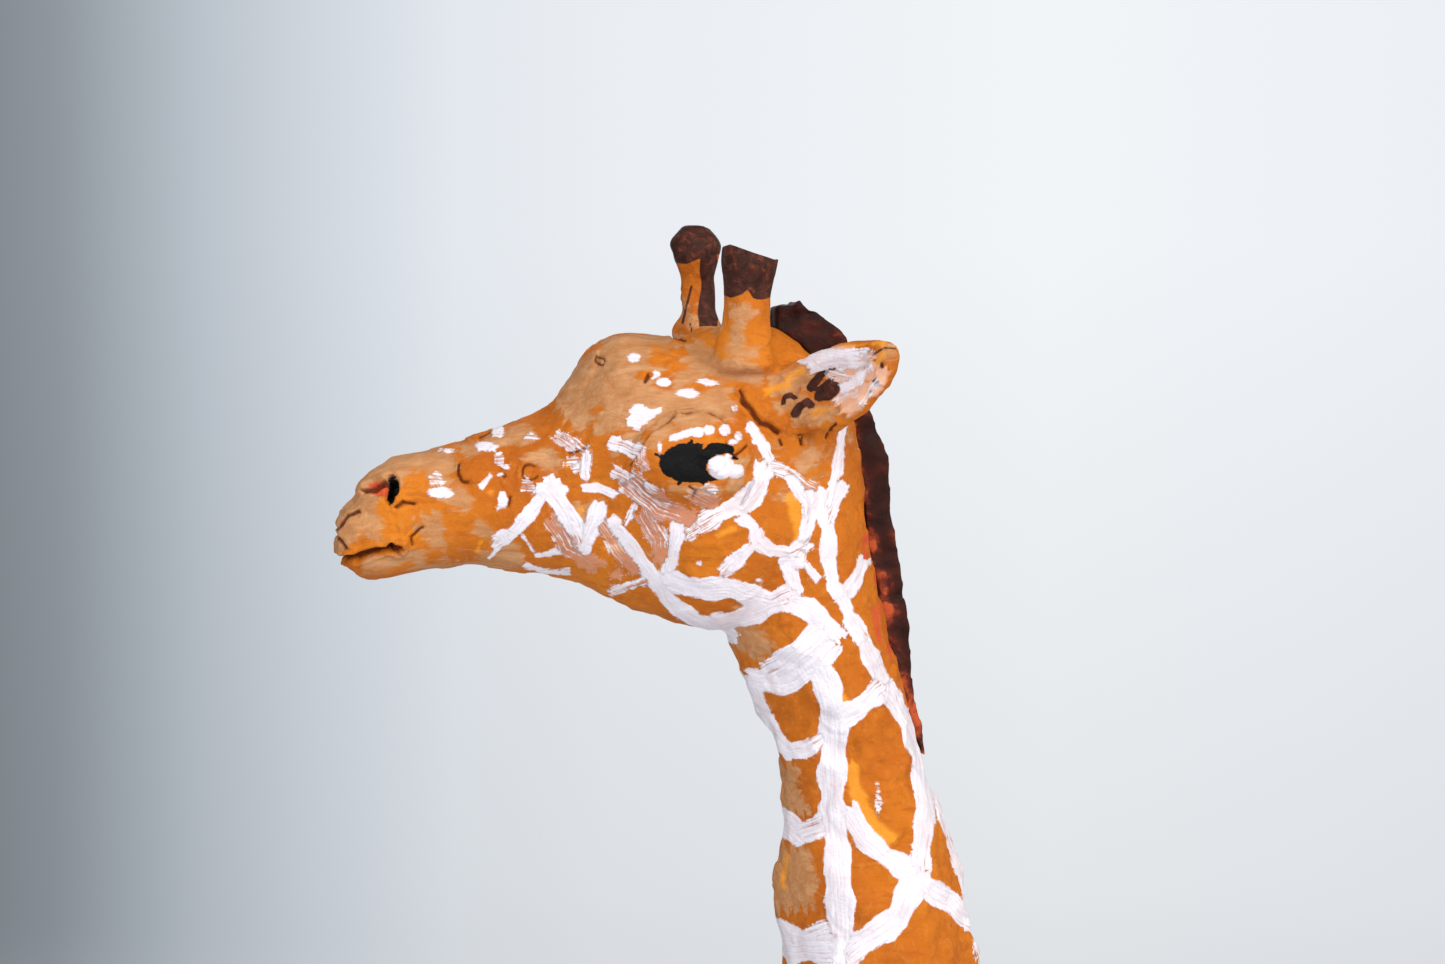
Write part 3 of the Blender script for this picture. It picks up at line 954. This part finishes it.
path /= np.maximum(np.linalg.norm(path, axis=1), 1e-6)[:, None]
fade = smooth_step(shaped[below][:, 2], WORKED_ABOVE + 2, WORKED_ABOVE + 6)
net = net - 4.0 * fade
cheek_marks = np.where(shaped[below][:, 2] < WORKED_ABOVE + 2, -3.0, white[below])
turn = np.arctan2(shaped[below][:, 1], shaped[below][:, 0] + 66)
ring_height = WORKED_ABOVE + 1.5 + 4.0 * np.sin(2 * turn + 0.6) + 2.0 * np.sin(5 * turn + 2.0)
ring = 2.0 - 0.9 * abs(shaped[below][:, 2] - ring_height - 1.5 * lumps(shaped[below], 12, 61))
net = np.maximum(net, ring)
take = net > cheek_marks
white[below] = np.where(take, net, cheek_marks)
cover[below] = np.where(take, 0.93 + 0.07 * lumps(shaped[below], 11, 62), cover[below])
net_brush = np.stack(((q * path).sum(1), edge, 3.0 * (first + second) % 101), 1)
brush[below] = np.where(take[:, None], net_brush, brush[below])
white = np.where(in_tail & (shaped[:, 2] < tuft_top + 14), -3.0, white)
# A few loose dabs where the net thins out above the hooves.
dab_edge = 0.4 * lumps(shaped, 1.4, 63)
for centre in shaped[rng.choice(np.nonzero((shaped[:, 2] < 100) & (shaped[:, 2] > 42))[0], 90)]:
    size = rng.uniform(0.8, 1.9)
    dab = size - np.linalg.norm((shaped - centre) * (1, 1, 0.6), axis=1) + dab_edge
    take = dab > white
    white = np.where(take, dab, white)
    cover = np.where(take, 0.85, cover)
white = white + 3.0 * brushed_to * upper

lights, _, light_brush = laid(EYE_LIGHTS, u, v)
eye_side = (abs(shaped[:, 1]) > 8) & (shaped[:, 2] > 440) & (facing > 0.1)
lights = np.where(eye_side, lights, BARE)
black, _, _ = laid(EYE_BLACK, u + 0.2 * lumps(shaped, 0.9, 13), v + 0.2 * lumps(shaped, 0.9, 14))
wedge, _, _ = laid(EYE_WEDGE, u, v)
black = np.where(eye_side, np.minimum(black, -wedge), BARE)
black = np.maximum(black, np.where(slot_depth > -1, slot_depth + 0.1, BARE))
take = lights > white
white = np.where(take, lights, white)
cover = np.where(take, 1.0, cover)
brush = np.where(take[:, None], light_brush, brush)
black = np.minimum(black, -lights)

tan, _, _ = laid(TAN, u + 1.0 * lumps(shaped, 4, 15), v + 1.0 * lumps(shaped, 4, 16))
back, _, _ = laid(ORANGE_BACK, u, v)
tan = np.minimum(np.where(upper, tan, BARE), -back)
tan = np.maximum(tan, 2.4 * lumps(shaped, 13, 17) - 1.5 + 0.5 * lumps(shaped, 3.5, 18) - 0.7 * on_head)
neck_only = smooth_step(shaped[:, 2], 364, 376) * (shaped[:, 0] > -95) * (shaped[:, 2] < 452)
brushed_tan = np.where(upper, laid(TAN, u, v)[0], BARE)
tan = np.where(neck_only > 0, np.maximum(brushed_tan, tan - 3.0 * neck_only), tan)
# The lower legs are rubbed paler towards the hooves.
pale = 1.6 * (1 - smooth_step(shaped[:, 2], 46, 120)) + 1.8 * lumps(shaped, 10, 22) - 1.1
tan = np.maximum(tan, np.where((shaped[:, 2] < 125) & ~in_tail, pale, BARE))
gold, _, _ = laid(GOLD, wave_u, wave_v)
gold = np.where(upper & (facing > 0), gold, BARE)
gold = np.maximum(gold, np.where(upper, -3.0, 2.2 * lumps(shaped, 9, 19) - 1.75))
# Red clay shows in flecks where the mane's edge was wiped down on to the neck.
nape, _, _ = laid([(2.4, 1, [(-75, 450), (-74.4, 441), (-72.4, 433.3), (-70.4, 430.3), (-68.9, 427)])], u, v)
nape = np.where(upper, np.minimum(nape, 1.1 * lumps(shaped, 2.4, 23) + 0.1), BARE)
raw = np.maximum(np.maximum(pocket, crack - 0.12), nape)

umber = np.full(len(shaped), BARE)
cap_edge = np.array(LEFT_CAP)
umber[left] = v[left] - np.interp(u[left], cap_edge[:, 0], cap_edge[:, 1])
far_u, far_v, _ = side_on(shaped[right], normals[right], mirrored=False)
cap_edge = np.array(RIGHT_CAP)
umber[right] = far_v - np.interp(far_u, cap_edge[:, 0], cap_edge[:, 1])
stripes, _, _ = laid([(2.6, 3.4, 1, [(-101.2, 495), (-101.3, 481.5)]), (0.4, 1, [(-104, 490), (-105.5, 484)]),
                      (0.4, 1, [(-104.3, 484), (-103.7, 482)])], far_u, far_v)
umber[right] = np.maximum(umber[right], stripes)
legs_low = (shaped[:, 2] < 60) & ~in_tail
umber = np.where(legs_low, hoof_top + 0.8 * lumps(shaped, 5, 20) - shaped[:, 2], umber)
umber = np.where(in_tail, tuft_top + 0.8 * lumps(shaped, 3, 21) - shaped[:, 2], umber)

ear_points = np.isin(point_owner, [BODY.index("left_ear"), BODY.index("right_ear")])
ear_root = (u > -91.5) & (u < -80) & (v > 466.5) & (v < 479)
ear_points |= ear_root & (abs(shaped[:, 1]) > 9) & (facing > 0.15) & upper
rose = np.full(len(shaped), BARE)
painted_ear = ear_points & (facing > -0.05)
for strokes, layer in ((EAR_WHITE, white), (EAR_ROSE, rose), (EAR_GOLD, gold), (EAR_TAN, tan),
    (EAR_UMBER, umber)):
    deep, thick, lines = laid(strokes, wave_u, wave_v)
    if layer is white:
        layer[painted_ear & (deep < 0) & (u > -85)] = -3.0
        cover = np.where(painted_ear & (deep > -1), thick, cover)
        brush = np.where((painted_ear & (deep > -1))[:, None], lines, brush)
    layer[painted_ear] = np.maximum(layer[painted_ear], deep[painted_ear])

# The paint itself stands a little proud, and the two lights in the eye are thick blobs.
coat = 0.05 * smooth_step(white, -0.2, 0.5) * np.clip(cover, 0, 1)
coat += 0.05 * smooth_step(umber, -0.1, 0.4) + 0.05 * smooth_step(black, -0.2, 0.3)
coat += 0.4 * smooth_step(np.where(u > -101.6, lights, BARE) * (v < 463.2), 0.05, 0.9) * eye_side
coat += 0.16 * smooth_step(lights, -0.1, 0.4)
shaped = shaped + normals * np.where(free, coat, 0.0)[:, None]
low_points = ~free
shaped[low_points, 2] = np.where(shaped[low_points, 2] < PLINTH_TOP + 0.15, PLINTH_TOP, shaped[low_points, 2])
box_low = np.min([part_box(node)[0] for node in BODY], axis=0) * 1000 + 0.02
box_high = np.max([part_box(node)[1] for node in BODY], axis=0) * 1000 - 0.02
shaped = np.clip(shaped, box_low, box_high)
normals = normals_of(skin, shaped)

# ---------------------------------------------------------------- how the painted clay looks
# Dried clay stained orange under thin acrylic: matt, faintly gritty, with fine ridges from
# the fingertips. The white is thicker, shows its bristle lines, and is a little satin.
MARKS = ("white", "cover", "umber", "black", "gold", "tan", "rose", "crack", "raw")
material, tree, out = new_material("painted_air_dried_clay")
where = add_node(tree, "TexCoord").outputs["Object"]
in_mm = add_node(tree, "VectorMath", [(0, where), ("Scale", 1000.0)], operation="SCALE").outputs[0]
mark = {name: add_node(tree, "Attribute", attribute_name=name).outputs["Fac"] for name in MARKS}
stroke = add_node(tree, "Attribute", attribute_name="brush").outputs["Vector"]
# Noise at four real sizes: broad shifts of tone, brush patches, smears and grit.
broad = add_node(tree, "TexNoise", [("Vector", in_mm), ("Scale", 0.06), ("Detail", 3.0)]).outputs["Fac"]
patch = add_node(tree, "TexNoise", [("Vector", in_mm), ("Scale", 0.22), ("Detail", 4.0),
    ("Roughness", 0.6)]).outputs["Fac"]
smear = add_node(
    tree,
    "TexNoise",
    [("Vector", in_mm), ("Scale", 0.7), ("Detail", 5.0), ("Roughness", 0.62), ("Distortion", 0.8)],
).outputs["Fac"]
grit = add_node(tree, "TexNoise", [("Vector", in_mm), ("Scale", 2.6), ("Detail", 3.0),
    ("Roughness", 0.7)]).outputs["Fac"]
# Smears of the finger and of a wide brush, drawn out along the head and the body.
drawn = add_node(tree, "VectorMath", [(0, in_mm), (1, (0.2, 0.62, 0.8))], operation="MULTIPLY")
swipe = add_node(
    tree,
    "TexNoise",
    [("Vector", drawn.outputs[0]), ("Scale", 1.0), ("Detail", 6.0), ("Roughness", 0.66), ("Distortion", 0.5)],
).outputs["Fac"]
# Bristle lines run along each stroke: long in the first coordinate, about 0.3 mm apart across.
bristle_at = add_node(tree, "VectorMath", [(0, stroke), (1, (0.13, 3.2, 1.0))], operation="MULTIPLY")
bristle = add_node(
    tree, "TexNoise", [("Vector", bristle_at.outputs[0]), ("Scale", 1.0), ("Detail", 3.0),
        ("Roughness", 0.55)]
).outputs["Fac"]


def edged(mark_depth, noise, ragged, low, high):
    """How much of a paint is there, from its depth in mm and a noise that tears its edge."""
    shift = add_node(tree, "Math", [(0, noise), (1, 0.5)], operation="SUBTRACT")
    torn = add_node(tree, "Math", [(0, shift.outputs[0]), (1, ragged), (2, mark_depth)],
        operation="MULTIPLY_ADD")
    return add_node(
        tree,
        "MapRange",
        [("Value", torn.outputs[0]), ("From Min", low), ("From Max", high)],
        interpolation_type="SMOOTHSTEP",
    ).outputs[0]


clay = set_ramp(
    add_node(tree, "ValToRGB", [(0, broad)]), [(0.3, "#b05c17"), (0.5, "#bf6919"), (0.7, "#cb751c")]
)
tone = add_node(tree, "MapRange", [("Value", swipe), ("From Min", 0.5), ("From Max", 0.62)]).outputs[0]
light = add_node(tree, "MapRange", [("Value", smear), ("From Min", 0.52), ("From Max", 0.72)]).outputs[0]
tan_amount = edged(mark["tan"], swipe, 4.2, -0.35, 0.75)
tan_colour = set_ramp(
    add_node(tree, "ValToRGB", [(0, swipe)]), [(0.32, "#ac7649"), (0.5, "#b98559"), (0.68, "#c8996e")]
)
rose_amount = edged(mark["rose"], smear, 1.0, -0.3, 0.6)
gold_amount = edged(mark["gold"], swipe, 1.8, -0.35, 0.6)
raw_amount = edged(mark["raw"], grit, 0.3, -0.15, 0.25)
crack_amount = edged(mark["crack"], grit, 0.25, -0.12, 0.16)
umber_amount = edged(mark["umber"], smear, 0.5, -0.08, 0.12)
umber_tone = set_ramp(
    add_node(tree, "ValToRGB", [(0, smear)]),
    [(0.3, "#2a1611"), (0.52, "#42231b"), (0.62, "#5a2d20"), (0.72, "#8a3f26")],
)
# Where the brush ran dry, the bristles leave gaps; cover says how loaded it was.
thin = add_node(tree, "Math", [(0, 1.0), (1, mark["cover"])], operation="SUBTRACT").outputs[0]
white_torn = add_node(tree, "Math", [(0, bristle), (1, 0.36), (2, mark["white"])],
    operation="MULTIPLY_ADD").outputs[0]
ragged = add_node(tree, "Math", [(0, thin), (1, 3.4), (2, 0.75)], operation="MULTIPLY_ADD").outputs[0]
white_edge = edged(white_torn, smear, ragged, 0.04, 0.34)
gap_low = add_node(tree, "Math", [(0, thin), (1, 0.44), (2, 0.21)], operation="MULTIPLY_ADD").outputs[0]
gap_high = add_node(tree, "Math", [(0, thin), (1, 0.44), (2, 0.35)], operation="MULTIPLY_ADD").outputs[0]
loaded = add_node(tree, "Math", [(0, bristle), (1, 0.65)], operation="MULTIPLY").outputs[0]
loaded = add_node(tree, "Math", [(0, smear), (1, 0.35), (2, loaded)], operation="MULTIPLY_ADD").outputs[0]
streaks = add_node(
    tree,
    "MapRange",
    [("Value", loaded), ("From Min", gap_low), ("From Max", gap_high), ("To Min", 0.15), ("To Max", 1.0)],
    interpolation_type="SMOOTHSTEP",
).outputs[0]
loose = add_node(tree, "MapRange", [("Value", patch), ("From Min", 0.3), ("From Max", 0.55),
    ("To Min", 0.84)]).outputs[0]
white_amount = add_node(tree, "Math", [(0, white_edge), (1, streaks)], operation="MULTIPLY").outputs[0]
white_amount = add_node(tree, "Math", [(0, white_amount), (1, loose)], operation="MULTIPLY").outputs[0]
white_tone = set_ramp(
    add_node(tree, "ValToRGB", [(0, bristle)]), [(0.3, "#d8cdd7"), (0.45, "#e1dae2"), (0.6, "#eae6ec")]
)
black_amount = edged(mark["black"], smear, 1.0, -0.06, 0.1)
# The colours in the order they went on: how much, how strong, and which.
for amount, strength, colour in (
    (tone, 0.6, "#a85619"), (light, 0.42, "#cf853c"), (tan_amount, 0.88, tan_colour),
    (rose_amount, 0.92, "#e8b394"),
    (gold_amount, 0.85, "#e8962f"), (raw_amount, 1.0, "#c9532f"), (crack_amount, 0.86, "#52210f"),
    (umber_amount, 1.0, umber_tone), (black_amount, 1.0, "#070607"), (white_amount, 1.0, white_tone),
):
    put_on = add_node(tree, "Math", [(0, amount), (1, strength)], operation="MULTIPLY").outputs[0]
    clay = add_node(tree, "MixRGB", [("Fac", put_on), ("Color1", clay), ("Color2", colour)]).outputs[0]

rough = add_node(
    tree, "MapRange", [("Value", smear), ("From Min", 0.3), ("From Max", 0.7), ("To Min", 0.62),
        ("To Max", 0.82)]
).outputs[0]
for amount, value in ((umber_amount, 0.5), (black_amount, 0.48), (white_amount, 0.52)):
    rough = add_node(
        tree, "MapRange", [("Value", amount), ("To Min", rough), ("To Max", value)]
    ).outputs[0]
# Fingertip ridges about 0.5 mm apart, in patches; the coat of paint fills them.
ridge_bend = add_node(tree, "TexNoise", [("Vector", in_mm), ("Scale", 0.12), ("Detail", 1.0)])
ridge_at = add_node(
    tree, "VectorMath", [(0, ridge_bend.outputs["Color"]), (1, (14.0, 14.0, 14.0)),
        (2, in_mm)], operation="MULTIPLY_ADD"
)
ridges = add_node(
    tree,
    "TexWave",
    [("Vector", ridge_at.outputs[0]), ("Scale", 0.7), ("Distortion", 0.6), ("Detail", 1.0)],
    bands_direction="DIAGONAL",
).outputs["Fac"]
ridged = add_node(tree, "MapRange", [("Value", patch), ("From Min", 0.5), ("From Max", 0.62)]).outputs[0]
height = add_node(tree, "Math", [(0, ridges), (1, ridged)], operation="MULTIPLY").outputs[0]
height = add_node(tree, "Math", [(0, height), (1, 0.03)], operation="MULTIPLY").outputs[0]
height = add_node(tree, "Math", [(0, grit), (1, 0.09), (2, height)], operation="MULTIPLY_ADD").outputs[0]
height = add_node(tree, "Math", [(0, smear), (1, 0.3), (2, height)], operation="MULTIPLY_ADD").outputs[0]
coated = add_node(tree, "Math", [(0, bristle), (1, 0.07), (2, 0.03)], operation="MULTIPLY_ADD").outputs[0]
height = add_node(tree, "Math", [(0, white_amount), (1, coated), (2, height)],
    operation="MULTIPLY_ADD").outputs[0]
height = add_node(tree, "Math", [(0, crack_amount), (1, -0.25), (2, height)],
    operation="MULTIPLY_ADD").outputs[0]
bump = add_node(tree, "Bump", [("Height", height), ("Distance", 0.001), ("Strength", 1.0)])
surface = add_node(
    tree,
    "BsdfPrincipled",
    [("Base Color", clay), ("Roughness", rough), ("Specular IOR Level", 0.12), ("Normal", bump.outputs[0])],
)
tree.links.new(surface.outputs[0], out.inputs["Surface"])
clay_material = material

# ---------------------------------------------------------------- parting the body into its pieces
# The skin is one surface while it is worked; here it is parted along the joins, and each
# piece is closed where it meets its neighbours.


def part_off(name, nodes, points, normals, faces, marks, rim=1.2):
    """One closed piece from some faces of a worked surface, with its paint and its normals.

    Where it was parted its rim turns in by rim mm, and a fan of faces closes it.
    """
    used = np.unique(np.concatenate(faces))
    place = np.full(len(points), -1)
    place[used] = np.arange(len(used))
    corners = [tuple(place[list(f)]) for f in faces]
    half = {}
    for face in corners:
        for a, b in zip(face, face[1:] + face[:1]):
            half[a, b] = True
    follow = {}
    for a, b in half:
        if (b, a) not in half:
            follow.setdefault(b, []).append(a)
    own = points[used]
    extra, caps = [], []
    while follow:
        start = next(iter(follow))
        loop, here = [], start
        while here in follow:
            loop.append(here)
            onward = follow[here].pop()
            if not follow[here]:
                del follow[here]
            here = onward
            if here == start:
                break
        ring = own[loop]
        radius = np.linalg.norm(ring - ring.mean(0), axis=1).mean()
        sunk = ring - normals[used][loop] * min(rim, 0.3 * radius)
        first = len(used) + len(extra)
        extra += list(sunk) + [sunk.mean(0)]
        count = len(loop)
        for k, (a, b) in enumerate(zip(loop, loop[1:] + loop[:1])):
            low_a, low_b = first + k, first + (k + 1) % count
            caps += [(a, b, low_b, low_a), (low_a, low_b, first + count)]
    all_points = np.vstack([own] + [e[None] for e in extra])
    mesh = bpy.data.meshes.new(name)
    mesh.from_pydata((all_points / 1000).tolist(), [], corners + caps)
    mesh.update()
    mesh.polygons.foreach_set("use_smooth", np.ones(len(mesh.polygons), bool))
    all_normals = np.vstack([normals[used]] + [np.array([[0.0, 0.0, 0.0]])] * len(extra))
    mesh.normals_split_custom_set_from_vertices(all_normals.tolist())
    for mark_name, values in marks.items():
        vector = values.ndim == 2
        attribute = mesh.attributes.new(mark_name, "FLOAT_VECTOR" if vector else "FLOAT", "POINT")
        tail = np.repeat(values[used[:1]], len(extra), 0)
        attribute.data.foreach_set(
            "vector" if vector else "value", np.concatenate((values[used], tail)).astype(np.float32).ravel()
        )
    mesh.materials.append(clay_material)
    piece = bpy.data.objects.new(name, mesh)
    scene.collection.objects.link(piece)
    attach(piece, "root")
    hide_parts(*nodes)
    return piece


marks = {
    "white": white, "cover": cover, "umber": umber, "black": black, "gold": gold, "tan": tan,
    "rose": rose, "crack": crack, "raw": raw, "brush": brush,
}
faces = [tuple(polygon.vertices) for polygon in skin.polygons]
face_owner = np.empty(len(faces), int)
for number, face in enumerate(faces):
    owners = point_owner[list(face)]
    if (owners == owners[0]).all():
        face_owner[number] = owners[0]
    else:
        middle = points[list(face)].mean(0)
        face_owner[number] = body_owner[nearest.find_nearest(middle)[2]]
for number, node in enumerate(BODY):
    own_faces = [faces[k] for k in np.nonzero(face_owner == number)[0]]
    part_off(node + "_clay", [node], shaped, normals, own_faces, marks)
bpy.data.meshes.remove(skin)

# ---------------------------------------------------------------- mane
# A long strip of clay pressed on down the nape and painted dark umber. The paint is worn
# on the ridges, where red-brown clay shows through.
MANE_GRAIN = 0.5
mane_mesh, _, _, _ = kneaded(["mane"], MANE_GRAIN * (1.0))
mane = points_of(mane_mesh)
mane = rubbed(mane, edges_of(mane_mesh), 5)
mane_normals = normals_of(mane_mesh, mane)
mane_u, mane_v, _ = side_on(mane, mane_normals)
nub = 1.0 * np.exp(-(((mane_u + 86.6) / 0.6) ** 2) - ((mane_v - 486.4) / 0.9) ** 2)
nub -= 0.7 * np.exp(-(((mane_u + 84.9) / 0.7) ** 2) - ((mane_v - 485.6) / 0.9) ** 2)
rise = nub + 0.35 * lumps(mane, 4.5, 70) + 0.2 * lumps(mane, 2.0, 71) + 0.08 * lumps(mane, 0.9, 72)
mane += mane_normals * rise[:, None]
mane_normals = normals_of(mane_mesh, mane)

material, tree, out = new_material("umber_painted_clay")
where = add_node(tree, "TexCoord").outputs["Object"]
in_mm = add_node(tree, "VectorMath", [(0, where), ("Scale", 1000.0)], operation="SCALE").outputs[0]
smear = add_node(
    tree, "TexNoise", [("Vector", in_mm), ("Scale", 0.24), ("Detail", 5.0), ("Roughness", 0.58),
        ("Distortion", 0.4)]
).outputs["Fac"]
grit = add_node(tree, "TexNoise", [("Vector", in_mm), ("Scale", 2.6), ("Detail", 3.0)]).outputs["Fac"]
rubbed_off = add_node(tree, "Attribute", attribute_name="worn").outputs["Fac"]
lifted = add_node(tree, "Math", [(0, rubbed_off), (1, 0.2), (2, smear)], operation="MULTIPLY_ADD").outputs[0]
umber_tone = set_ramp(
    add_node(tree, "ValToRGB", [(0, lifted)]),
    [(0.3, "#1c0b07"), (0.5, "#33140d"), (0.6, "#451b11"), (0.66, "#6e2c1b"), (0.74, "#b4502a")],
)
height = add_node(tree, "Math", [(0, grit), (1, 0.12), (2, smear)], operation="MULTIPLY_ADD").outputs[0]
bump = add_node(tree, "Bump", [("Height", height), ("Distance", 0.0008), ("Strength", 0.8)])
rough = add_node(
    tree, "MapRange", [("Value", smear), ("From Min", 0.3), ("From Max", 0.7), ("To Min", 0.45),
        ("To Max", 0.7)]
).outputs[0]
surface = add_node(
    tree,
    "BsdfPrincipled",
    [("Base Color", umber_tone), ("Roughness", rough), ("Specular IOR Level", 0.12),
        ("Normal", bump.outputs[0])],
)
tree.links.new(surface.outputs[0], out.inputs["Surface"])
front_edge = np.interp(mane_v, [410, 430, 450, 470, 480], [-62.5, -70.4, -75.0, -79.0, -80.5])
worn = np.where(mane_v < 478, 1 - smooth_step(mane_u - front_edge, 0.3, 2.6), 0.0)
mane_piece = part_off(
    "mane_clay", ["mane"], mane, mane_normals,
    [tuple(polygon.vertices) for polygon in mane_mesh.polygons], {"worn": worn},
)
mane_piece.data.materials[0] = material
bpy.data.meshes.remove(mane_mesh)
